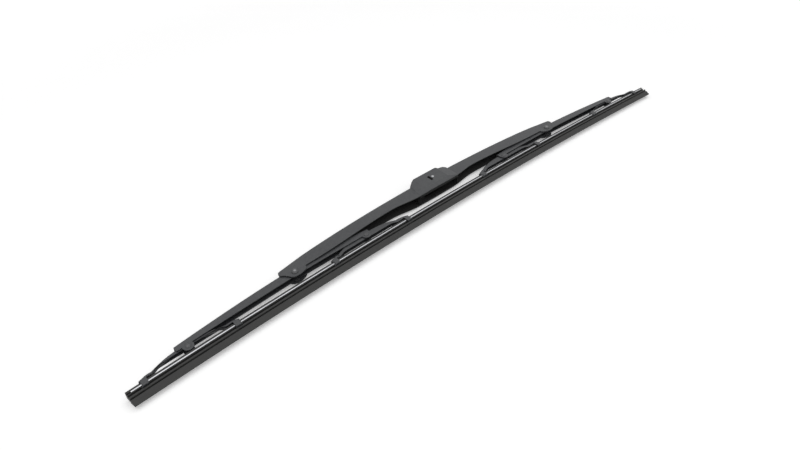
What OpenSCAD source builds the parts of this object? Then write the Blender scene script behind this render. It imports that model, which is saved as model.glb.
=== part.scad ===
// Windscreen wiper blade with a pressed steel frame, lying on its side.
// X runs along the blade, Y from the wiping lip to the back, Z across its width.
// A height is measured in Y from the bent line of the lip.

/* [Blade] */
// Length of the rubber
blade_len = 600; // [500:5:700]
// Radius that the rubber is bent to
bend_r = 5530; // [4500:10:9000]

/* [Rubber and rails] */
// Height of the whole rubber section
rubber_h = 12.3; // [11:0.1:14]
// Height of the wedge's shoulder
wedge_h = 4.45; // [3.8:0.05:4.9]
// Half width of the wiping wedge at its shoulder
wedge_half = 2.2; // [1.6:0.1:2.8]
// Half thickness of the lip's edge
lip_half = 0.35; // [0.3:0.05:0.6]
// Half width of the rubber's head
head_half = 3.2; // [2.9:0.1:3.6]
// How far the rails stand out of the head on each side
rail_out = 0.3; // [0.1:0.05:0.5]
// Thickness of the rails
rail_t = 1; // [0.8:0.05:1.2]
// How far the rails stop short of each end of the rubber
rail_short = 3; // [1:0.5:6]
// How far the rubber sits off the frame's middle
rubber_shift = 2; // [0:0.5:3]

/* [Bridge] */
// Sheet thickness of the bridge
bridge_t = 0.9; // [0.8:0.1:1.1]
// Place of each lever rivet from the middle, as a share of the blade's length
rivet_place = 0.2585; // [0.25:0.0005:0.266]
// Height of the lever rivets over the rubber
lever_rise = 11.1; // [10:0.1:13]
// Height of the bridge's ends over the lever rivets
bridge_end_rise = 9.2; // [8.8:0.1:9.8]
// Rise of the back from its ends to its middle
bridge_rise = 6.5; // [5.6:0.1:7.4]
// Half width of the bridge at its middle
bridge_half = 5.9; // [5.5:0.1:6.5]
// Depth of the lobe under each lever rivet
bridge_lobe = 5.3; // [4.8:0.1:5.8]
// Radius of the lever rivets
rivet_r = 1.6; // [1.4:0.1:1.8]

/* [Arm seat] */
// Middle of the arm seat along the blade
seat_x = 3.8; // [0:0.1:6]
// Half length of the seat's flat cheeks
seat_reach = 14; // [13.5:0.5:16]
// How far the seat's cheeks stand out of the bridge's walls
seat_out = 1.7; // [1.3:0.1:2.2]
// Height of the cheeks over the bridge's back
seat_rise = 4.5; // [3.8:0.1:5.4]
// Depth of the cross pin under the top of the cheeks
pin_depth = 8.2; // [7.6:0.1:9]
// Radius of the cross pin that carries the arm adapter
pin_r = 2.2; // [2:0.1:2.4]
// Radius of the pin's ends, riveted into the cheeks
pin_end_r = 1.2; // [1:0.1:1.5]
// Length along the blade of the small window in each cheek
window_len = 2.6; // [2:0.1:3]
// Height of the small window
window_h = 6.4; // [5:0.1:7]

/* [Levers] */
// Sheet thickness of the levers
lever_t = 0.8; // [0.7:0.05:0.9]
// Height of the lever's back over its rivet
lever_over = 5.4; // [5.1:0.1:5.7]
// Height of the back over the outer yoke's rivet
outer_over = 7; // [6.7:0.1:7.4]
// Height of the back over the inner yoke's rivet
inner_over = 5.9; // [5.5:0.1:6.3]

/* [Yokes] */
// Sheet thickness of the yokes
yoke_t = 0.7; // [0.6:0.05:0.8]
// Half width of a yoke between its claws
yoke_half = 1.75; // [1.65:0.05:1.95]
// Place of the outer yoke's rivet, as a share of the blade's length
outer_place = 0.417; // [0.412:0.001:0.422]
// Height of the outer yoke's rivet over the rubber
outer_rise = 5; // [4.6:0.1:5.4]
// Reach of the outer yoke's claws from its rivet, as a share of the blade's length
outer_span = 0.0595; // [0.058:0.0005:0.0615]
// Place of the inner yoke's rivet, as a share of the blade's length
inner_place = 0.1435; // [0.14:0.0005:0.147]
// Height of the inner yoke's rivet over the rubber
inner_rise = 7.1; // [6.7:0.1:7.5]
// Reach of the inner yoke's claws from its rivet, as a share of the blade's length
inner_span = 0.065; // [0.063:0.0005:0.067]
// Radius of the yoke rivets
yoke_rivet_r = 1.2; // [1.1:0.1:1.4]
// Length of a claw along the blade
claw_len = 5.4; // [4.8:0.1:7]

/* [Hidden] */
$fn = 64;

// Radial clearance of a part that turns on a rivet or the pin
run = 0.05;
// Gap between parts that slide past each other
slip = 0.07;
// Wall of the plastic bushes that keep the nested channels apart
yoke_bush_t = 0.2;
lever_bush_t = 0.3;
// Play between a claw and the rail's edge, and over the rubber
claw_play = 0.2;

// Places along the blade
rivet_x = rivet_place * blade_len;
outer_x = outer_place * blade_len;
inner_x = inner_place * blade_len;
outer_reach = outer_span * blade_len;
inner_reach = inner_span * blade_len;
bridge_reach = rivet_x + 2.25 * bridge_lobe;
back_end = rivet_x + 1.5 * bridge_lobe;
neck_x = rivet_x - 2.7 * bridge_lobe;
pin_x = seat_x + 0.2 * seat_reach;

// Heights, each from the part below it
groove_lo = 0.573 * rubber_h;
groove_hi = 0.691 * rubber_h;
rail_h = 0.744 * rubber_h;
outer_h = rubber_h + outer_rise;
inner_h = rubber_h + inner_rise;
rivet_h = rubber_h + lever_rise;
lever_crest = rivet_h + lever_over;
bridge_end_h = rivet_h + bridge_end_rise;
bridge_crest = bridge_end_h + bridge_rise;
neck_drop = 0.56 * bridge_rise;
seat_h = bridge_crest + seat_rise;
pin_h = seat_h - pin_depth;

// Half widths, from the rubber and the yokes outwards
neck_half = 0.37 * head_half;
rail_half = head_half + rail_out;
claw_half = rail_half + claw_play + yoke_t;
lever_half = yoke_half + yoke_bush_t + slip + lever_t;
bridge_end_half = lever_half + lever_bush_t + slip + bridge_t;
seat_half = bridge_half + seat_out;

// Lobes round the yoke rivets
lever_lobe_r = outer_rise - 0.9;
yoke_lobe_r = yoke_rivet_r + 2;
outer_crest = outer_h + 1.3 * yoke_lobe_r;
inner_crest = inner_h + 1.1 * yoke_lobe_r;

// The claw's foot stands in the middle of the groove
foot_lo = (groove_lo + groove_hi - yoke_t) / 2;
foot_tip = neck_half + 0.35;
// Back of a yoke over its claws
claw_top = rubber_h + claw_play + yoke_t;
// Longer than any cut across the parts
through = 4 * seat_h;

// The lip's line, bent to bend_r, with its ends towards -Y
function bend(x) = sqrt(bend_r * bend_r - x * x) - bend_r;
function at(x, h) = [x, h + bend(x)];
function stations(a, b, n) = [for (i = [0 : n]) a + (b - a) * i / n];
function ease(u) = (1 - cos(180 * max(0, min(1, u)))) / 2;

// Backs of the sheet parts, as heights along the blade
function bridge_back(x) =
    let (u = abs(x))
    u < neck_x ? bridge_crest - neck_drop * pow(u / neck_x, 2.8)
               : bridge_crest - neck_drop
                 - (bridge_crest - neck_drop - bridge_end_h) * (u - neck_x) / (back_end - neck_x);
lever_end = outer_x + 2 * lever_lobe_r;
lever_start = inner_x - 1.1 * lever_lobe_r;
function lever_back(x) =
    let (reach = x > rivet_x ? outer_x - rivet_x : rivet_x - inner_x,
         end_h = x > rivet_x ? outer_h + outer_over : inner_h + inner_over)
    lever_crest - (lever_crest - end_h) * pow(abs(x - rivet_x) / reach, x > rivet_x ? 1.5 : 2);
function yoke_back(d, crest, reach, falls) =
    claw_top + (crest - claw_top) * (1 - pow(min(1, abs(d) / reach), falls[d < 0 ? 0 : 1]));

// Everything under the line s(x), in a plane that is tilted about X
module under(xs, s, tilt)
    rotate([tilt, 0, 0])
        linear_extrude(height = through, center = true)
            polygon(concat([for (x = xs) [x, s(x)]],
                           [[xs[len(xs) - 1], -through], [xs[0], -through]]));

// Solid block of a pressed part: its back line, its width along X, and the bends
// between back and walls as 45 degree faces
module pressed_block(xs, back, half, bevel) {
    n = len(xs) - 1;
    intersection() {
        under(xs, function(x) back(x) + bend(x), 0);
        rotate([90, 0, 0])
            linear_extrude(height = through, center = true)
                polygon(concat([for (x = xs) [x, half(x)]],
                               [for (i = [n : -1 : 0]) [xs[i], -half(xs[i])]]));
        under(xs, function(x) (back(x) + bend(x) + half(x) - bevel) / sqrt(2), 45);
        under(xs, function(x) (back(x) + bend(x) + half(x) - bevel) / sqrt(2), -45);
    }
}

// A channel of sheet t, open towards the rubber, cut to the side outline in its children
module channel(xs, back, half, t, bevel) {
    n = len(xs) - 1;
    difference() {
        intersection() {
            linear_extrude(height = through, center = true) children();
            pressed_block(xs, back, half, bevel);
        }
        pressed_block(concat([xs[0] - 5], xs, [xs[n] + 5]),
                      function(x) back(x) - t, function(x) half(x) - t,
                      bevel - (2 - sqrt(2)) * t);
    }
}

// Side outline above the lower edge of a part's walls
module above(xs, low)
    polygon(concat([for (x = xs) at(x, low(x))], [[xs[len(xs) - 1], through], [xs[0], through]]));

module cross_hole(x, h, r)
    translate(concat(at(x, h), 0))
        cylinder(r = r, h = through, center = true);

// A rivet with a low domed head outside each wall
module rivet(x, h, r, grip, head_r, head_t)
    translate(concat(at(x, h), 0))
        for (side = [0, 1])
            mirror([0, 0, side])
                rotate_extrude()
                    polygon([[0, 0], [r, 0], [r, grip], [head_r, grip], [head_r, grip + 0.3 * head_t],
                             [0.85 * head_r, grip + 0.7 * head_t], [0.5 * head_r, grip + 0.95 * head_t],
                             [0, grip + head_t]]);

module other_side()
    mirror([1, 0, 0]) children();

// Bridge

// Lower edge of the bridge's walls, raised behind the arm seat for the arm's hook
function bridge_low(x) =
    let (u = abs(x) / rivet_x)
    rivet_h + 0.1 + 3.2 * ease((u - 0.13) / 0.2) - 3.4 * ease((u - 0.33) / 0.54);

// Outline of the bridge's end round its rivet, in lobe depths: the flared lobe below, and
// the rounded end of the back
bridge_end = [[-1.94, 0.1], [-1.88, -0.2], [-1.68, -0.51], [-1.28, -0.75], [-0.68, -0.93],
              [-0.2, -1], [0.34, -0.97], [0.75, -0.83], [1.05, -0.56], [1.35, -0.05],
              [1.7, 0.37], [2.05, 0.58], [2.21, 0.85], [2.19, 1.1], [2.03, 1.38],
              [1.78, 1.6], [1.5, 1.72]];

module bridge_outline()
    union() {
        above(stations(-back_end, back_end, 80), function(x) bridge_low(x));
        for (side = [-1, 1])
            polygon(concat([for (p = bridge_end) at(side * (rivet_x + bridge_lobe * p[0]),
                                                    rivet_h + bridge_lobe * p[1])],
                           [at(side * (rivet_x - 1.9 * bridge_lobe), rivet_h + bridge_lobe)]));
    }

function bridge_half_at(x) =
    bridge_half - (bridge_half - bridge_end_half) * min(1, abs(x) / (rivet_x - 2 * bridge_lobe));

// Raised cheeks that carry the cross pin: flat, with a sloped foot all round
module seat_block(t) {
    reach = seat_reach - t / 2;
    foot = 0.7 * seat_reach;
    foot_half = bridge_half - t - 0.2;
    low = rivet_h - 0.3;
    intersection() {
        rotate([90, 0, 0])
            linear_extrude(height = through, center = true)
                for (side = [0, 1])
                    mirror([0, side])
                        polygon([[seat_x - reach - foot, -1], [seat_x - reach - foot, foot_half],
                                 [seat_x - reach, seat_half - t], [seat_x + reach, seat_half - t],
                                 [seat_x + reach + foot, foot_half], [seat_x + reach + foot, -1]]);
        rotate([0, 90, 0])
            linear_extrude(height = through, center = true)
                for (side = [0, 1])
                    mirror([side, 0])
                        polygon([[-1, low - 3], [foot_half, low + 0.9], [seat_half - t, pin_h - 8.4],
                                 [seat_half - t, through], [-1, through]]);
        linear_extrude(height = through, center = true)
            polygon([[seat_x - reach - foot, low], [seat_x + reach + foot, low],
                     [seat_x + reach + foot, bridge_crest - 0.3],
                     [seat_x + reach + 0.75 * foot, bridge_crest + 0.47 * seat_rise],
                     [seat_x + reach + 0.15 * foot, bridge_crest + 0.5 * seat_rise],
                     [seat_x + reach - 0.5, seat_h], [seat_x - reach + 0.5, seat_h],
                     [seat_x - reach - 0.3 * foot, seat_h - 0.3 * seat_rise],
                     [seat_x - reach - 0.8 * foot, bridge_crest - 0.2]]);
    }
}

module bridge() color([0.1, 0.1, 0.11]) {
    difference() {
        union() {
            channel(stations(-bridge_reach - 0.5, bridge_reach + 0.5, 40), function(x) bridge_back(x),
                    function(x) bridge_half_at(x), bridge_t, 1.5)
                bridge_outline();
            seat_block(0);
        }
        // Hollow of the seat, open to the back so that the arm's hook can enter
        seat_block(bridge_t);
        for (side = [-1, 1])
            cross_hole(side * rivet_x, rivet_h, rivet_r);
        translate([pin_x, pin_h, 0])
            cylinder(r = pin_end_r, h = through, center = true);
        translate([pin_x - 2 * pin_end_r - window_len / 2, pin_h - 0.5, 0])
            cube([window_len, window_h, through], center = true);
    }
}

// Stepped pin: its thin ends are riveted flush into the cheeks
module cross_pin() color([0.75, 0.76, 0.78])
    translate([pin_x, pin_h, 0])
        for (side = [0, 1])
            mirror([0, 0, side])
                rotate_extrude()
                    polygon([[0, 0], [pin_r, 0], [pin_r, seat_half - bridge_t - slip],
                             [pin_end_r, seat_half - bridge_t - slip], [pin_end_r, seat_half],
                             [0, seat_half]]);

module bridge_rivets() color([0.14, 0.14, 0.15])
    for (side = [-1, 1])
        rivet(side * rivet_x, rivet_h, rivet_r, bridge_end_half, rivet_r + 1.3, 0.7 * rivet_r);

// Arm adapter

// Moulded clip that turns on the cross pin: two cheeks joined by a round nose, which the
// arm's hook goes round, and by an end wall
module arm_adapter() color([0.08, 0.08, 0.09]) {
    half = seat_half - bridge_t - 0.3;
    wall = 1.4;
    tail = 6 * pin_r;
    front = 3.8 * pin_r;
    rise = pin_depth - 2;
    drop = 2.2 * pin_r;
    difference() {
        union() {
            for (side = [0, 1])
                mirror([0, 0, side])
                    translate([pin_x, pin_h, half - wall])
                        linear_extrude(height = wall)
                            polygon([[-tail, -drop / 2], [2 - tail, -drop], [front - 2.4, -drop],
                                     [front, 2 - drop], [front, rise - 2.6], [front - 2.4, rise],
                                     [3.5 - tail, rise], [-tail, rise - 2.6]]);
            translate([pin_x, pin_h, 0])
                cylinder(r = pin_r + wall, h = 2 * half, center = true);
            translate([pin_x + front - wall, pin_h + 2 - drop, -half])
                cube([wall, rise + drop - 4.6, 2 * half]);
        }
        translate([pin_x, pin_h, 0])
            cylinder(r = pin_r + run, h = through, center = true);
    }
}

// Levers

// Lower edge of a lever's walls, straight from its rivet to each yoke rivet
function lever_low(x) =
    let (middle = rivet_h - 2.9)
    x > rivet_x ? middle + (outer_h + 1.4 - middle) * (x - rivet_x) / (outer_x - rivet_x)
                : middle + (inner_h + 0.2 - middle) * (rivet_x - x) / (rivet_x - inner_x);

module lever_outline()
    union() {
        above(concat(stations(lever_start, rivet_x, 8), stations(rivet_x + 1, lever_end, 10)),
              function(x) lever_low(x));
        translate(at(outer_x, outer_h))
            circle(r = lever_lobe_r);
        translate(at(inner_x, inner_h))
            circle(r = lever_lobe_r);
    }

module lever() {
    difference() {
        channel(stations(lever_start - 0.5, lever_end + 0.5, 30), function(x) lever_back(x),
                function(x) lever_half, lever_t, 1.1)
            lever_outline();
        cross_hole(rivet_x, rivet_h, rivet_r + run);
        cross_hole(outer_x, outer_h, yoke_rivet_r);
        cross_hole(inner_x, inner_h, yoke_rivet_r);
    }
}

// Plastic saddle over the lever that keeps it from rubbing in the bridge
module saddle(x, h, back_y, hole_r, inner, outer, reach, drop)
    difference() {
        union() {
            for (side = [0, 1])
                mirror([0, 0, side])
                    translate([0, 0, inner])
                        linear_extrude(height = outer - inner)
                            union() {
                                translate(at(x, h))
                                    circle(r = drop);
                                translate([x - reach, at(x, h)[1]])
                                    square([2 * reach, back_y + 0.65 - at(x, h)[1]]);
                            }
            translate([x - reach, back_y + 0.15, -outer])
                cube([2 * reach, 0.5, 2 * outer]);
        }
        cross_hole(x, h, hole_r);
    }

module lever_bush()
    saddle(rivet_x, rivet_h, lever_crest + bend(rivet_x), rivet_r + run, lever_half,
           lever_half + lever_bush_t, rivet_r + 1.8, rivet_r + 2);

module yoke_rivets()
    for (p = [[outer_x, outer_h], [inner_x, inner_h]])
        rivet(p[0], p[1], yoke_rivet_r, lever_half, yoke_rivet_r + 0.9, 0.5 * yoke_rivet_r);

module lever_right() color([0.11, 0.11, 0.12]) lever();
module lever_left() color([0.11, 0.11, 0.12]) other_side() lever();
module lever_bush_right() color([0.2, 0.2, 0.2]) lever_bush();
module lever_bush_left() color([0.2, 0.2, 0.2]) other_side() lever_bush();
module yoke_rivets_right() color([0.16, 0.16, 0.17]) yoke_rivets();
module yoke_rivets_left() color([0.16, 0.16, 0.17]) other_side() yoke_rivets();

// Yokes

// Lower edge of a yoke at distance d from its rivet: an arch that clears the rubber's head,
// then the claw down to its foot
function yoke_low(d, arch, reach) =
    let (pad = reach - claw_len / 2, clear = rubber_h + 0.4, slope = 0.31 * reach)
    abs(d) > pad + 0.005 ? foot_lo : clear + (arch - clear) * (1 - ease((abs(d) - pad + slope) / slope));

module claw_feet(x)
    translate([0, -bend_r, 0])
        rotate([0, 0, -asin(x / bend_r)])
            translate([-claw_len / 2, bend_r + foot_lo, 0])
                for (side = [0, 1])
                    mirror([0, 0, side])
                        translate([0, 0, foot_tip])
                            cube([claw_len, yoke_t, claw_half - yoke_t / 2 - foot_tip]);

module yoke(x0, h0, reach, crest, arch, falls) {
    end = reach + claw_len / 2;
    pad = reach - claw_len / 2;
    flare = 0.15 * reach;
    xs = concat([x0 - end, x0 - pad - 0.01], stations(x0 - pad, x0 + pad, 28), [x0 + pad + 0.01, x0 + end]);
    corner = 0.3 * claw_half;
    difference() {
        union() {
            channel(xs, function(x) yoke_back(x - x0, crest, reach, falls),
                    function(x) yoke_half + (claw_half - yoke_half) * ease((abs(x - x0) - pad + flare) / flare),
                    yoke_t, 0.9)
                union() {
                    above(xs, function(x) yoke_low(x - x0, arch, reach));
                    translate(at(x0, h0))
                        circle(r = yoke_lobe_r);
                }
            claw_feet(x0 - reach);
            claw_feet(x0 + reach);
        }
        // Cut corners of the claws' ends
        rotate([90, 0, 0])
            linear_extrude(height = through, center = true)
                for (i = [-1, 1], j = [-1, 1])
                    polygon([[x0 + i * (end + 1), j * (claw_half - corner - 1)],
                             [x0 + i * (end + 1), j * (claw_half + 1)],
                             [x0 + i * (end - corner - 1), j * (claw_half + 1)]]);
        cross_hole(x0, h0, yoke_rivet_r + run);
    }
}

module outer_yoke()
    yoke(outer_x, outer_h, outer_reach, outer_crest, outer_crest - 3.6, [2.2, 2.45]);
module inner_yoke()
    yoke(inner_x, inner_h, inner_reach, inner_crest, inner_crest - 6.4, [3, 2.7]);

module yoke_bush(x, h, crest)
    saddle(x, h, crest + bend(x), yoke_rivet_r + run, yoke_half,
           yoke_half + yoke_bush_t, yoke_rivet_r + 1.4, yoke_rivet_r + 1.4);

module outer_yoke_right() color([0.12, 0.12, 0.13]) outer_yoke();
module outer_yoke_left() color([0.12, 0.12, 0.13]) other_side() outer_yoke();
module inner_yoke_right() color([0.12, 0.12, 0.13]) inner_yoke();
module inner_yoke_left() color([0.12, 0.12, 0.13]) other_side() inner_yoke();
module outer_yoke_bush_right() color([0.2, 0.2, 0.2]) yoke_bush(outer_x, outer_h, outer_crest);
module outer_yoke_bush_left() color([0.2, 0.2, 0.2])
    other_side() yoke_bush(outer_x, outer_h, outer_crest);
module inner_yoke_bush_right() color([0.2, 0.2, 0.2]) yoke_bush(inner_x, inner_h, inner_crest);
module inner_yoke_bush_left() color([0.2, 0.2, 0.2])
    other_side() yoke_bush(inner_x, inner_h, inner_crest);

// Rubber refill with its two steel rails

// A section of height and half width, swept along the bent blade
module along_blade(length) {
    turn = length / bend_r * 180 / PI;
    middle = rubber_shift / bend_r * 180 / PI;
    translate([0, -bend_r, 0])
        rotate([0, 0, 90 - middle - turn / 2])
            rotate_extrude(angle = turn, $fn = 3600)
                translate([bend_r, 0])
                    children();
}

// One side of the rubber's section, from the lip to the top of the head
slot_half = neck_half + 0.05;
rubber_side = [[0, lip_half], [0.9, lip_half + 0.1],
               [wedge_h, wedge_half], [wedge_h + 0.3, wedge_half - 0.2],
               [wedge_h + 0.45, 0.5], [wedge_h + 0.95, 0.5], [wedge_h + 1.05, head_half - 0.3],
               [groove_lo - 0.1, head_half - 0.2], [groove_lo, neck_half],
               [groove_hi, neck_half], [groove_hi + 0.05, head_half - 0.1],
               [rail_h, head_half - 0.1], [rail_h, slot_half],
               [rail_h + rail_t + 0.06, slot_half], [rail_h + rail_t + 0.06, head_half],
               [rubber_h - 0.5, head_half], [rubber_h, head_half - 0.5]];

module rubber_refill() color([0.07, 0.07, 0.07])
    along_blade(blade_len)
        polygon(concat(rubber_side,
                       [for (i = [len(rubber_side) - 1 : -1 : 0]) [rubber_side[i][0], -rubber_side[i][1]]]));

module rail(side)
    along_blade(blade_len - 2 * rail_short)
        mirror([0, side])
            translate([rail_h + 0.03, slot_half + 0.05])
                square([rail_t, rail_half - slot_half - 0.05]);

module rail_upper() color([0.8, 0.81, 0.82]) rail(0);
module rail_lower() color([0.8, 0.81, 0.82]) rail(1);

bridge();
cross_pin();
bridge_rivets();
rubber_refill();
rail_upper();
rail_lower();
arm_adapter();
lever_left();
lever_bush_left();
yoke_rivets_left();
outer_yoke_left();
outer_yoke_bush_left();
inner_yoke_left();
inner_yoke_bush_left();
lever_right();
lever_bush_right();
yoke_rivets_right();
outer_yoke_right();
outer_yoke_bush_right();
inner_yoke_right();
inner_yoke_bush_right();
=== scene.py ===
import math

import bpy
import numpy as np
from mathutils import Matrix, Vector


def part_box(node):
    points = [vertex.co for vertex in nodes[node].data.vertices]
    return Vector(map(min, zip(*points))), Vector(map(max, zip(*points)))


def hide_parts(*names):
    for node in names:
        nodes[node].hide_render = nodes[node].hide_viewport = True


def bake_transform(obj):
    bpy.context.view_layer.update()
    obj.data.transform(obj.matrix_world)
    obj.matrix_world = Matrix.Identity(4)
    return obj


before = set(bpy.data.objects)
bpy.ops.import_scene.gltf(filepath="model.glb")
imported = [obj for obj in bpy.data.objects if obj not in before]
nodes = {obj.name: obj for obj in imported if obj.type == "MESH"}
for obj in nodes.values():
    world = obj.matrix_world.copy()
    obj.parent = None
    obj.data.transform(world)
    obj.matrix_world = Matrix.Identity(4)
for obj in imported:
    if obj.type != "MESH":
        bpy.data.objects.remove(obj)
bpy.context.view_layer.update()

# ---- Pressed frame -------------------------------------------------------
# Bridge, levers and yokes are channels pressed from steel sheet and nested in
# each other. They are powder coated black after pressing, so the coat rounds
# every punched edge and has a fine, even grain.

channels = ["bridge"] + [f"{part}_{side}" for side in ("left", "right")
                         for part in ("lever", "outer_yoke", "inner_yoke")]
coat_width = 0.00012
coat_depth = 0.00002
sharp_angle = 35


def new_group(name, inputs, outputs):
    """An empty shader node group whose sockets are all numbers; returns it with its input
    and output nodes. inputs maps each name to its default, and outputs lists names."""
    group = bpy.data.node_groups.new(name, "ShaderNodeTree")
    new_socket = group.interface.new_socket
    for label, value in inputs.items():
        socket = new_socket(label, in_out="INPUT", socket_type="NodeSocketFloat")
        socket.default_value = value
    for label in outputs:
        new_socket(label, in_out="OUTPUT", socket_type="NodeSocketFloat")
    return group, group.nodes.new("NodeGroupInput"), group.nodes.new("NodeGroupOutput")


def noise_of(group_nodes, detail):
    """A noise texture with that many steps of finer detail."""
    noise = group_nodes.new("ShaderNodeTexNoise")
    noise.inputs["Detail"].default_value = detail
    return noise


def coat_grain(grain_share=0.9, mottle_share=0.5):
    """Height and mask of a sprayed coat. The height is grain_share of fine noise, the
    powder's grain, and the rest of slow noise, the waves in its thickness. The mask is
    mottle_share of a noise of a few millimetres, and the rest of the slow noise."""
    group, given, out = new_group(
        "coat_grain", {"Grain": 1800.0, "Waves": 60.0, "Mottle": 420.0}, ("Height", "Mask"))
    n, link = group.nodes, group.links.new
    where = n.new("ShaderNodeTexCoord")
    fine, slow, mottle = noise_of(n, 3), noise_of(n, 4), noise_of(n, 2)
    for noise, label in ((fine, "Grain"), (slow, "Waves"), (mottle, "Mottle")):
        link(where.outputs["Object"], noise.inputs["Vector"])
        link(given.outputs[label], noise.inputs["Scale"])
    total = n.new("ShaderNodeMath")
    total.operation = "MULTIPLY_ADD"
    total.inputs[1].default_value = grain_share
    share = n.new("ShaderNodeMath")
    share.operation = "MULTIPLY"
    share.inputs[1].default_value = 1 - grain_share
    link(slow.outputs["Fac"], share.inputs[0])
    link(fine.outputs["Fac"], total.inputs[0])
    link(share.outputs[0], total.inputs[2])
    link(total.outputs[0], out.inputs["Height"])
    patches = n.new("ShaderNodeMix")
    patches.inputs["Factor"].default_value = mottle_share
    link(slow.outputs["Fac"], patches.inputs["A"])
    link(mottle.outputs["Fac"], patches.inputs["B"])
    link(patches.outputs["Result"], out.inputs["Mask"])
    return group


def placed(material, group, **values):
    """A copy of a shared node group in a material, with its own input values."""
    node = material.node_tree.nodes.new("ShaderNodeGroup")
    node.node_tree = group
    for label, value in values.items():
        node.inputs[label].default_value = value
    return node


def varied_finish(name, dark, light, rough, effect, depth, metallic=0.0, specular=0.5):
    """A Principled material. As the effect's mask rises through its middle, the colour goes
    from dark to light and the roughness from rough[0] to rough[1]. The effect's height is a
    bump of that depth in metres. effect makes the node group's copy for the material."""
    dark_until, light_from = 0.35, 0.65
    smooth_until, rough_from = 0.3, 0.7
    material = bpy.data.materials.new(name)
    material.use_nodes = True
    n, link = material.node_tree.nodes, material.node_tree.links.new
    shader = n["Principled BSDF"]
    source = effect(material)
    colours = n.new("ShaderNodeValToRGB")
    for end, at, colour in zip(colours.color_ramp.elements, (dark_until, light_from),
                               (dark, light)):
        end.position = at
        end.color = (*colour, 1)
    link(source.outputs["Mask"], colours.inputs["Fac"])
    link(colours.outputs["Color"], shader.inputs["Base Color"])
    roughness = n.new("ShaderNodeMapRange")
    roughness.inputs["From Min"].default_value = smooth_until
    roughness.inputs["From Max"].default_value = rough_from
    roughness.inputs["To Min"].default_value = rough[0]
    roughness.inputs["To Max"].default_value = rough[1]
    link(source.outputs["Mask"], roughness.inputs["Value"])
    link(roughness.outputs["Result"], shader.inputs["Roughness"])
    bump = n.new("ShaderNodeBump")
    bump.inputs["Strength"].default_value = 1.0
    bump.inputs["Distance"].default_value = depth
    link(source.outputs["Height"], bump.inputs["Height"])
    link(bump.outputs["Normal"], shader.inputs["Normal"])
    shader.inputs["Metallic"].default_value = metallic
    shader.inputs["Specular IOR Level"].default_value = specular
    return material


def hollow_zone():
    """Mask of one stretch of the bridge's hollow: 1 where |x - Centre| < Reach,
    Bottom < y < Top and |z| + Taper |x| - Rise (y - Bottom) < Half, and 0 elsewhere."""
    group, given, out = new_group(
        "hollow_zone",
        {"Centre": 0.0, "Reach": 0.12, "Bottom": 0.0, "Top": 0.0345, "Half": 0.005,
         "Taper": 0.0, "Rise": 0.0}, ("Mask",))
    n, link = group.nodes, group.links.new
    where = n.new("ShaderNodeTexCoord")
    parts = n.new("ShaderNodeSeparateXYZ")
    link(where.outputs["Object"], parts.inputs["Vector"])
    x, y, z = (parts.outputs[axis] for axis in "XYZ")

    def maths(operation, *values):
        """The result of one step of arithmetic on sockets or numbers."""
        node = n.new("ShaderNodeMath")
        node.operation = operation
        for socket, value in zip(node.inputs, values):
            if isinstance(value, float):
                socket.default_value = value
            else:
                link(value, socket)
        return node.outputs[0]

    given = given.outputs
    aside = maths("ABSOLUTE", maths("SUBTRACT", x, given["Centre"]))
    above = maths("SUBTRACT", y, given["Bottom"])
    leaning = maths("MULTIPLY_ADD", maths("ABSOLUTE", x), given["Taper"], maths("ABSOLUTE", z))
    wide = maths("SUBTRACT", leaning, maths("MULTIPLY", above, given["Rise"]))
    along = maths("LESS_THAN", aside, given["Reach"])
    high = maths("MULTIPLY", maths("GREATER_THAN", above, 0.0),
                 maths("LESS_THAN", y, given["Top"]))
    mask = maths("MULTIPLY", maths("MULTIPLY", along, high),
                 maths("LESS_THAN", wide, given["Half"]))
    link(mask, out.inputs["Mask"])
    return group


def tinted_over(material, mask, colour):
    """Lays a colour over the material's base colour where the mask is 1."""
    n, link = material.node_tree.nodes, material.node_tree.links.new
    base = n["Principled BSDF"].inputs["Base Color"]
    under = base.links[0].from_socket
    mix = n.new("ShaderNodeMix")
    mix.data_type = "RGBA"
    colour_in = [socket for socket in mix.inputs if socket.type == "RGBA"]
    link(mask, mix.inputs["Factor"])
    link(under, colour_in[0])
    colour_in[1].default_value = (*colour, 1)
    link([socket for socket in mix.outputs if socket.type == "RGBA"][0], base)


def dulled_over(material, mask, roughness):
    """Raises the material's roughness to at least that value where the mask is 1."""
    n, link = material.node_tree.nodes, material.node_tree.links.new
    rough = n["Principled BSDF"].inputs["Roughness"]
    under = rough.links[0].from_socket
    dull = n.new("ShaderNodeMath")
    dull.operation = "MULTIPLY"
    dull.inputs[1].default_value = roughness
    larger = n.new("ShaderNodeMath")
    larger.operation = "MAXIMUM"
    link(mask, dull.inputs[0])
    link(under, larger.inputs[0])
    link(dull.outputs[0], larger.inputs[1])
    link(larger.outputs[0], rough)


grain = coat_grain()
powder_coat, bridge_coat = (varied_finish(
    name, dark=(0.026, 0.027, 0.031), light=(0.044, 0.046, 0.048), rough=(0.34, 0.48),
    effect=lambda m: placed(m, grain, Grain=1700.0, Waves=45.0, Mottle=420.0),
    depth=coat_depth)
    for name in ("powder_coat", "bridge_coat"))

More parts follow.
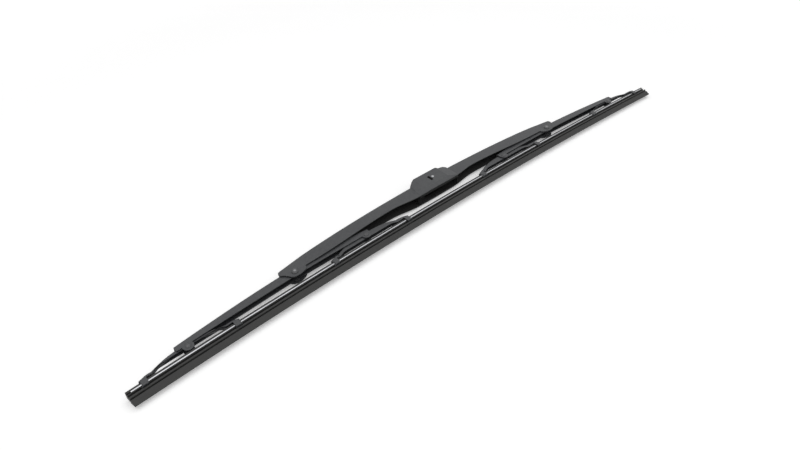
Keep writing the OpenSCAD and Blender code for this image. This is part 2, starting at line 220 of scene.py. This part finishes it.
# Painted shade: the bridge's hollow is coloured near black over the coat and made dull. These
# are
# its stretches: the channel, then in the arm seat the slopes under the cheeks, the cheeks, the
# slopes under the feet, the two feet, and the edges of the windows
hollow_painted_shade = (0.004, 0.004, 0.004)
hollow_roughness = 0.9
seat_middle = 0.0038
cheek_reach = 0.0138
cheek_low = 0.027
under_slope = 0.633
foot_reach = 0.0049
foot_low = 0.0258
foot_slope = 0.1939
zone = hollow_zone()
for stretch in (
        {"Reach": 0.12, "Half": 0.00545, "Taper": 0.01253},
        {"Centre": seat_middle, "Reach": cheek_reach, "Bottom": 0.024, "Top": 0.0271,
         "Half": 0.00525, "Rise": under_slope},
        {"Centre": seat_middle, "Reach": cheek_reach, "Bottom": cheek_low, "Half": 0.00715},
        {"Centre": seat_middle, "Reach": 0.0213, "Bottom": 0.0234, "Top": foot_low,
         "Half": 0.00452, "Rise": under_slope},
        {"Centre": -0.01485, "Reach": foot_reach, "Bottom": foot_low, "Half": 0.00876,
         "Taper": foot_slope},
        {"Centre": 0.02245, "Reach": foot_reach, "Bottom": foot_low, "Half": 0.01023,
         "Taper": foot_slope},
        {"Centre": 0.0029, "Reach": 0.00142, "Bottom": 0.0316, "Top": 0.0382,
         "Half": 0.00752}):
    hollow = placed(bridge_coat, zone, **stretch)
    # Painted shade: near black laid over the coat's colour inside the hollow
    tinted_over(bridge_coat, hollow.outputs["Mask"], hollow_painted_shade)
    dulled_over(bridge_coat, hollow.outputs["Mask"], hollow_roughness)


def finish_node(name, material):
    """Gives a CAD node its material in place of the plain one."""
    for slot in nodes[name].material_slots:
        slot.link = "OBJECT"
        slot.material = material


def coat_edges(name, width):
    """Welds a CAD node's loose triangles and rounds its sharp edges to that width, with
    live modifiers, so that the CAD mesh stays as it is."""
    weld = nodes[name].modifiers.new("weld", "WELD")
    weld.merge_threshold = 1e-6
    bevel = nodes[name].modifiers.new("coat", "BEVEL")
    bevel.width = width
    bevel.segments = 2
    bevel.limit_method = "ANGLE"
    bevel.angle_limit = math.radians(sharp_angle)
    bevel.use_clamp_overlap = True


for name in channels:
    finish_node(name, bridge_coat if name == "bridge" else powder_coat)
    coat_edges(name, coat_width)

# ---- Rivets and cross pin ------------------------------------------------
# Domed steel rivets join bridge, levers and yokes, and are coated with them.
# The cross pin in the arm seat stays bare bright steel, riveted flush.

# How bright each rivet's crown is rubbed. The paint ends a little under the crown's top, and
# the step to bare steel would be complete a little over it, where the noise lifts it to
rivet_bareness = {"bridge_rivets": 0.26, "yoke_rivets_left": 0.09, "yoke_rivets_right": 0.09}
paint_ends = 0.00004
bare_from = 0.00002
steel_blue = 1.03


def worn_crown(speckles=2500.0, ragged=0.00006):
    """Mask of bare metal on a rivet's crown: 1 where the distance from the blade's middle
    plane is over Top, 0 under Edge, and a smooth step between. Fine noise times ragged is
    added to the distance, so that the paint's edge is broken up."""
    group, given, out = new_group("worn_crown", {"Edge": 0.004, "Top": 0.005}, ("Mask",))
    n, link = group.nodes, group.links.new
    where = n.new("ShaderNodeTexCoord")
    parts = n.new("ShaderNodeSeparateXYZ")
    height = n.new("ShaderNodeMath")
    height.operation = "ABSOLUTE"
    speckle = noise_of(n, 2)
    speckle.inputs["Scale"].default_value = speckles
    shift = n.new("ShaderNodeMath")
    shift.operation = "MULTIPLY_ADD"
    shift.inputs[1].default_value = ragged
    step = n.new("ShaderNodeMapRange")
    step.interpolation_type = "SMOOTHSTEP"
    link(where.outputs["Object"], parts.inputs["Vector"])
    link(where.outputs["Object"], speckle.inputs["Vector"])
    link(parts.outputs["Z"], height.inputs[0])
    link(speckle.outputs["Fac"], shift.inputs[0])
    link(height.outputs[0], shift.inputs[2])
    link(shift.outputs[0], step.inputs["Value"])
    link(given.outputs["Edge"], step.inputs["From Min"])
    link(given.outputs["Top"], step.inputs["From Max"])
    link(step.outputs["Result"], out.inputs["Mask"])
    return group


crown = worn_crown()


def rivet_finish(name, edge, top, bare):
    """Rivet paint worn through to the steel on the crown, between those two heights. bare is
    how bright the rubbed crown is."""
    material = varied_finish(
        name, dark=(0.034, 0.035, 0.038), light=(0.046, 0.047, 0.049), rough=(0.26, 0.36),
        effect=lambda m: placed(m, grain, Grain=2400.0, Waves=120.0), depth=0.000012)
    n, link = material.node_tree.nodes, material.node_tree.links.new
    shader = n["Principled BSDF"]
    worn = placed(material, crown, Edge=edge, Top=top)
    tinted_over(material, worn.outputs["Mask"], (bare, bare, steel_blue * bare))
    link(worn.outputs["Mask"], shader.inputs["Metallic"])
    return material


for name, bare in rivet_bareness.items():
    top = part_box(name)[1][2]
    finish_node(name, rivet_finish(f"{name}_coat", top - paint_ends, top + bare_from, bare))


def drawn_lines(stretched=50):
    """Height and mask of rolled or drawn steel: noise stretched that many times along X, so
    that it turns into fine lines along the blade."""
    group, given, out = new_group("drawn_lines", {"Lines": 2500.0}, ("Height", "Mask"))
    n, link = group.nodes, group.links.new
    where = n.new("ShaderNodeTexCoord")
    stretch = n.new("ShaderNodeMapping")
    stretch.inputs["Scale"].default_value = (1 / stretched, 1, 1)
    lines = noise_of(n, 4)
    link(where.outputs["Object"], stretch.inputs["Vector"])
    link(stretch.outputs["Vector"], lines.inputs["Vector"])
    link(given.outputs["Lines"], lines.inputs["Scale"])
    link(lines.outputs["Fac"], out.inputs["Height"])
    link(lines.outputs["Fac"], out.inputs["Mask"])
    return group


lines = drawn_lines()
bright_steel = varied_finish(
    "bright_steel", dark=(0.40, 0.405, 0.42), light=(0.56, 0.565, 0.58), rough=(0.22, 0.34),
    effect=lambda m: placed(m, lines, Lines=2500.0), depth=0.000004, metallic=1.0)
finish_node("cross_pin", bright_steel)

# ---- Bushes and arm adapter ----------------------------------------------
# Thin saddles of smooth, low friction plastic keep the nested channels apart.
# The adapter in the arm seat is moulded in fine grained black plastic.

bush_plastic = varied_finish(
    "bush_plastic", dark=(0.075, 0.075, 0.076), light=(0.095, 0.095, 0.096),
    rough=(0.38, 0.46), effect=lambda m: placed(m, grain, Grain=900.0, Waves=150.0),
    depth=0.000006)
for side in ("left", "right"):
    for part in ("lever_bush", "outer_yoke_bush", "inner_yoke_bush"):
        finish_node(f"{part}_{side}", bush_plastic)
adapter_plastic = varied_finish(
    "adapter_plastic", dark=(0.008, 0.008, 0.008), light=(0.013, 0.013, 0.013),
    rough=(0.48, 0.58), effect=lambda m: placed(m, grain, Grain=3200.0, Waves=90.0),
    depth=0.00002, specular=0.12)
finish_node("arm_adapter", adapter_plastic)

# ---- Rubber refill -------------------------------------------------------
# One rubber extrusion: wiping wedge, thin hinge neck, flange, claw groove and
# a head with two slots for the rails. It slides through the claws and bends
# with the frame, so it is made in lengths that each reach across one joint.

bend_radius = 5.530
rubber_length = 0.600
rubber_shift = 0.002
section_height = 0.0123
head_half = 0.0032
wedge_height = 0.00445
wedge_half = 0.0022
lip_half = 0.00035
hinge_half = 0.0005
hinge_low = wedge_height + 0.00045
hinge_high = wedge_height + 0.00095
flange_low = wedge_height + 0.00105
neck_half = 0.37 * head_half
groove_low = 0.573 * section_height
groove_high = 0.691 * section_height
slot_low = 0.744 * section_height
slot_high = slot_low + 0.00106
slot_half = neck_half + 0.00005

# Height, half width and corner radius, from the lip to the head's middle
rubber_side = [
    (0.0, lip_half, 0.00012), (0.0009, lip_half + 0.0001, 0.0004),
    (wedge_height, wedge_half, 0.00015), (wedge_height + 0.0003, wedge_half - 0.0002, 0.00008),
    (hinge_low, hinge_half, 0.00018), (hinge_high, hinge_half, 0.00018),
    (flange_low, head_half - 0.0003, 0.00016),
    (groove_low - 0.0001, head_half - 0.0002, 0.0002), (groove_low, neck_half, 0.0001),
    (groove_high, neck_half, 0.0001), (groove_high + 0.00005, head_half - 0.0001, 0.00018),
    (slot_low, head_half - 0.0001, 0.0001), (slot_low, slot_half, 0.00005),
    (slot_high, slot_half, 0.00005), (slot_high, head_half, 0.0001),
    (section_height - 0.0005, head_half, 0.0003), (section_height, head_half - 0.0005, 0.0003)]

# The lengths of one half: the bodies that each goes from and to, its outer and inner end,
# and the places along the blade where its bend begins and ends
half_lengths = [
    ("outer_yoke", "lever", 0.298, 0.169, 0.2100, 0.1690),
    ("lever", "inner_yoke", 0.169, 0.086, 0.1690, 0.1285),
    ("inner_yoke", "lever", 0.086, 0.035, 0.0435, 0.0350),
    ("lever", "frame", 0.035, 0.000, 0.0350, 0.0000)]


def rounded_outline(corners, steps=3):
    """A closed outline with an arc at each corner: the arc's ends lie at the corner's radius
    times the tangent of half its turn, at most 45 % of the shorter side, and a quadratic
    curve with the corner as its middle point joins them."""
    points = np.array([c[:2] for c in corners])
    radius = np.array([c[2] for c in corners])
    before = np.roll(points, 1, 0) - points
    after = np.roll(points, -1, 0) - points
    shorter = np.minimum(np.linalg.norm(before, axis=1), np.linalg.norm(after, axis=1))
    before /= np.linalg.norm(before, axis=1)[:, None]
    after /= np.linalg.norm(after, axis=1)[:, None]
    turn = np.pi - np.arccos(np.clip((before * after).sum(1), -1, 1))
    cut = np.minimum(radius * np.tan(turn / 2), 0.45 * shorter)[:, None]
    t = np.linspace(0, 1, steps + 1)[None, :, None]
    a, b, c = points + before * cut, points, points + after * cut
    arcs = (1 - t) ** 2 * a[:, None] + 2 * t * (1 - t) * b[:, None] + t ** 2 * c[:, None]
    return arcs.reshape(-1, 2)


def closed_section(side_corners):
    """The section's corners: one side upwards, then the same side mirrored downwards."""
    return list(side_corners) + [(h, -w, r) for h, w, r in reversed(side_corners)]


def swept_length(name, outline, start, end, step=0.002):
    """The outline carried along the bent blade from start to end. At arc length s the
    section stands at angle s / bend_radius round the bend's middle, so a point at height h
    and half width w lies at ((R + h) sin a, (R + h) cos a - R, w). Each end is closed by one
    face. The sign of the outline's area tells whether the faces have to be turned round."""
    rings = max(2, int(round((end - start) / step)) + 1)
    angle = np.linspace(start, end, rings)[:, None] / bend_radius
    height, width = outline[None, :, 0], outline[None, :, 1]
    x = (bend_radius + height) * np.sin(angle)
    y = (bend_radius + height) * np.cos(angle) - bend_radius
    z = np.broadcast_to(width, x.shape)
    verts = np.stack([x, y, z], -1).reshape(-1, 3)
    count = len(outline)
    i = np.arange(rings - 1)[:, None] * count
    j = np.arange(count)[None, :]
    k = (j + 1) % count
    quads = np.stack([i + j, i + k, i + k + count, i + j + count], -1).reshape(-1, 4)
    first = list(range(count))
    last = [(rings - 1) * count + q for q in range(count)]
    area = np.sum(outline[:, 0] * np.roll(outline[:, 1], -1)
                  - np.roll(outline[:, 0], -1) * outline[:, 1])
    faces = quads.tolist()
    faces += [first[::-1], last]
    if area > 0:
        faces = [face[::-1] for face in faces]
    mesh = bpy.data.meshes.new(name)
    mesh.from_pydata(verts.tolist(), [], faces)
    mesh.update()
    piece = bpy.data.objects.new(name, mesh)
    bpy.context.scene.collection.objects.link(piece)
    return piece


def smooth_over(piece, degrees):
    """Smooth shading over every edge that turns by less than that angle."""
    mesh = piece.data
    mesh.shade_smooth()
    mesh.set_sharp_from_angle(angle=math.radians(degrees))


def extruded_skin(stretched=100, line_share=0.25):
    """Height and mask of extruded rubber. The height is noise stretched that many times
    along X, the fine lines along the blade. The mask is line_share of those lines, and the
    rest of a soft dusty mottle."""
    group, given, out = new_group(
        "extruded_skin", {"Lines": 3000.0, "Mottle": 300.0}, ("Height", "Mask"))
    n, link = group.nodes, group.links.new
    where = n.new("ShaderNodeTexCoord")
    stretch = n.new("ShaderNodeMapping")
    stretch.inputs["Scale"].default_value = (1 / stretched, 1, 1)
    line, mottle = noise_of(n, 3), noise_of(n, 5)
    link(where.outputs["Object"], stretch.inputs["Vector"])
    link(stretch.outputs["Vector"], line.inputs["Vector"])
    link(where.outputs["Object"], mottle.inputs["Vector"])
    link(given.outputs["Lines"], line.inputs["Scale"])
    link(given.outputs["Mottle"], mottle.inputs["Scale"])
    blend = n.new("ShaderNodeMix")
    blend.inputs["Factor"].default_value = line_share
    link(mottle.outputs["Fac"], blend.inputs["A"])
    link(line.outputs["Fac"], blend.inputs["B"])
    link(line.outputs["Fac"], out.inputs["Height"])
    link(blend.outputs["Result"], out.inputs["Mask"])
    return group


skin = extruded_skin()
black_rubber = varied_finish(
    "black_rubber", dark=(0.020, 0.020, 0.020), light=(0.032, 0.032, 0.031),
    rough=(0.50, 0.62), effect=lambda m: placed(m, skin, Lines=2600.0, Mottle=220.0),
    depth=0.000012, specular=0.3)


def bending_lengths(label, outline, node, material, end_gap=0.0):
    """Makes the eight lengths of one extruded piece from the table of half lengths, first
    on the left side and then mirrored on the right."""
    for side, sign in (("left", -1), ("right", 1)):
        for number, (near, far, outer, inner, begin, finish) in enumerate(half_lengths):
            reach = outer if number else rubber_length / 2 + sign * rubber_shift - end_gap
            ends = sorted((sign * reach, sign * inner))
            piece = swept_length(f"{label}_{side}_{number + 1}", outline, *ends)
            smooth_over(piece, degrees=40)
            piece.data.materials.append(material)
            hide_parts(node)
            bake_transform(piece)


bending_lengths("rubber", rounded_outline(closed_section(rubber_side)), "rubber_refill",
                black_rubber)

# ---- Steel rails ---------------------------------------------------------
# Two flat strips of bright spring steel lie in the slots of the rubber's head
# and stand out of it by a third of a millimetre, where the claws hold them.

rail_thickness = 0.001
rail_out = head_half + 0.0003
rail_in = slot_half + 0.00005
rail_low = slot_low + 0.00003
rail_high = rail_low + rail_thickness
rail_gap = 0.003
inner_round = 0.0001
outer_round = 0.00015
for label, flip in (("rail_upper", 1), ("rail_lower", -1)):
    strip = [(rail_low, flip * rail_in, inner_round), (rail_low, flip * rail_out, outer_round),
             (rail_high, flip * rail_out, outer_round), (rail_high, flip * rail_in, inner_round)]
    bending_lengths(label, rounded_outline(strip), label, bright_steel,
                    end_gap=rail_gap)

# ---- Floor, light and camera ---------------------------------------------
# A plain white floor under a wide, soft light. The blade rests on the arm
# seat and the outer claws, so the floor slopes under it by their difference.

floor_touches = -0.00466
floor_slope = 0.112
glow_near = 0.3
glow_far = 1.0
near_until = 0.5
far_from = 1.6


def swept_floor(name, reach, touch_height, slope, fade, steps=200, crowding=5):
    """A square sheet whose height is touch_height - slope * fade * tanh(y / fade): tilted
    across the blade near it, and level further off. Its lines lie at reach times
    sinh(crowding t) / sinh(crowding) for t from -1 to 1, so they are closest in the middle."""
    across = np.sinh(np.linspace(-crowding, crowding, steps + 1)) / np.sinh(crowding) * reach
    x, y = np.meshgrid(across, across, indexing="ij")
    z = touch_height - slope * fade * np.tanh(y / fade)
    verts = np.stack([x, y, z], -1).reshape(-1, 3)
    i, j = np.meshgrid(np.arange(steps), np.arange(steps), indexing="ij")
    corner = (i * (steps + 1) + j).reshape(-1, 1)
    faces = corner + np.array([0, steps + 1, steps + 2, 1])
    mesh = bpy.data.meshes.new(name)
    mesh.from_pydata(verts.tolist(), [], faces.tolist())
    mesh.shade_smooth()
    sheet = bpy.data.objects.new(name, mesh)
    bpy.context.scene.collection.objects.link(sheet)
    return sheet


floor = swept_floor("floor", reach=4.0, touch_height=floor_touches, slope=floor_slope,
                    fade=0.15)
white_floor = bpy.data.materials.new("white_floor")
white_floor.use_nodes = True
n, link = white_floor.node_tree.nodes, white_floor.node_tree.links.new
# The camera sees the floor glow a little near the blade, and plain white further off, so
# that no horizon shows in the low views. The glow lights nothing
paint = n["Principled BSDF"]
paint.inputs["Base Color"].default_value = (0.88, 0.88, 0.88, 1)
paint.inputs["Roughness"].default_value = 0.9
paint.inputs["Specular IOR Level"].default_value = 0.1
paint.inputs["Emission Color"].default_value = (1, 1, 1, 1)
floor_path = n.new("ShaderNodeLightPath")
floor_place = n.new("ShaderNodeTexCoord")
away = n.new("ShaderNodeVectorMath")
away.operation = "LENGTH"
whiter = n.new("ShaderNodeMapRange")
whiter.interpolation_type = "SMOOTHSTEP"
whiter.inputs["From Min"].default_value = near_until
whiter.inputs["From Max"].default_value = far_from
whiter.inputs["To Min"].default_value = glow_near
whiter.inputs["To Max"].default_value = glow_far
lift = n.new("ShaderNodeMath")
lift.operation = "MULTIPLY"
link(floor_place.outputs["Object"], away.inputs[0])
link(away.outputs["Value"], whiter.inputs["Value"])
link(whiter.outputs["Result"], lift.inputs[1])
link(floor_path.outputs["Is Camera Ray"], lift.inputs[0])
link(lift.outputs[0], paint.inputs["Emission Strength"])
floor.data.materials.append(white_floor)

world = bpy.data.worlds.new("studio")
bpy.context.scene.world = world
world.use_nodes = True
n, link = world.node_tree.nodes, world.node_tree.links.new
# The room is plain white for the camera and in reflections, and a dim fill light otherwise
fill_light = 0.3
around = n["Background"]
around.inputs["Color"].default_value = (1, 1, 1, 1)
path = n.new("ShaderNodeLightPath")
seen = n.new("ShaderNodeMath")
seen.operation = "MAXIMUM"
level = n.new("ShaderNodeMapRange")
level.inputs["To Min"].default_value = fill_light
level.inputs["To Max"].default_value = 1.0
link(path.outputs["Is Camera Ray"], seen.inputs[0])
link(path.outputs["Is Glossy Ray"], seen.inputs[1])
link(seen.outputs[0], level.inputs["Value"])
link(level.outputs["Result"], around.inputs["Strength"])


def soft_box(name, place, aim, size, power):
    """A square area lamp at place that shines at aim."""
    lamp = bpy.data.lights.new(name, "AREA")
    lamp.shape = "SQUARE"
    lamp.size = size
    lamp.energy = power
    holder = bpy.data.objects.new(name, lamp)
    bpy.context.scene.collection.objects.link(holder)
    holder.location = place
    holder.rotation_euler = (Vector(aim) - Vector(place)).to_track_quat("-Z", "Y").to_euler()


soft_box("top_light", place=(-0.1, -0.2, 1.4), aim=(0, 0, 0), size=3.0, power=27)

camera = bpy.data.cameras.new("camera")
camera.sensor_width = 36
camera.lens = 28.76
camera.clip_start = 0.01
eye = bpy.data.objects.new("camera", camera)
bpy.context.scene.collection.objects.link(eye)
look_at = Vector((-0.0554, 0.0112, 0))
azimuth, elevation, distance = math.radians(42.38), math.radians(40), 0.537
back = Vector((-math.sin(azimuth) * math.cos(elevation),
               -math.cos(azimuth) * math.cos(elevation), math.sin(elevation)))
eye.location = look_at + back * distance
eye.rotation_euler = (-back).to_track_quat("-Z", "Y").to_euler()
bpy.context.scene.camera = eye
bpy.context.scene.view_settings.view_transform = "Standard"
